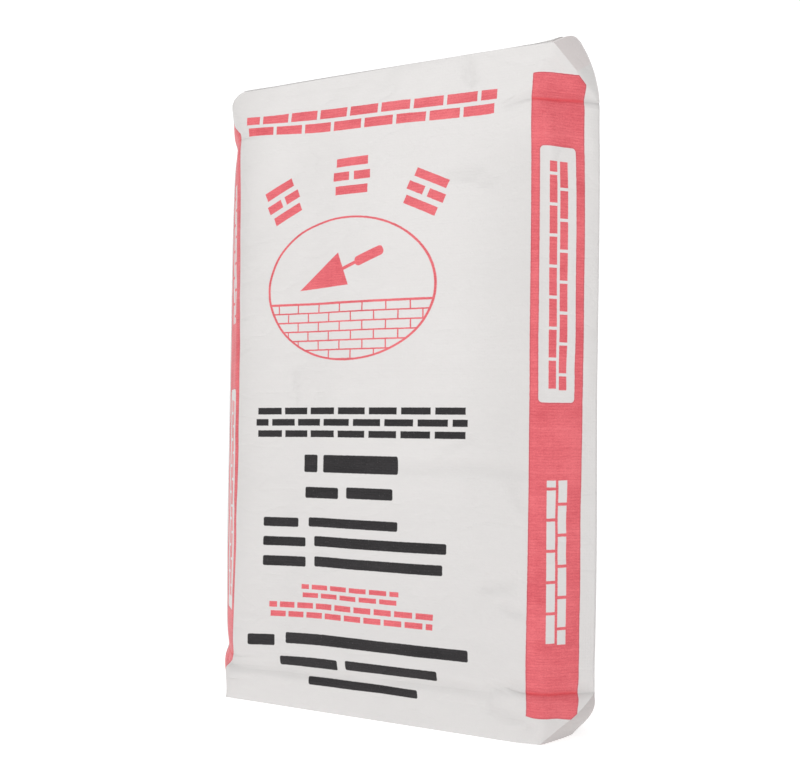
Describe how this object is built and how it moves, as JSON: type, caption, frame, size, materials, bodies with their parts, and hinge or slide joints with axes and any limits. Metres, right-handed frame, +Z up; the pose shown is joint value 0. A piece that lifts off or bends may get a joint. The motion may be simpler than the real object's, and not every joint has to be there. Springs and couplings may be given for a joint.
{
  "type": "filled woven polypropylene valve sack",
  "caption": "Upright filled block-bottom valve sack of laminated woven polypropylene, with folded triangular ears, welded end covers and a corner valve.",
  "frame": {"origin": "middle of the footprint, on the floor that the lower end rests on", "axes": "+X to the right along the broad printed face, +Y to the back, +Z up along the woven tube"},
  "size_m": [0.46, 0.14, 0.7142],
  "materials": {
    "woven_tube": "white laminated woven polypropylene with red side bands, satin",
    "cover_strip": "plain white laminated woven polypropylene, satin",
    "valve_film": "unprinted off-white film"
  },
  "bodies": {
    "root": {"sack_body": "woven_tube", "bottom_cover": "cover_strip", "top_cover": "cover_strip", "valve_sheet": "valve_film"}
  },
  "joints": []
}
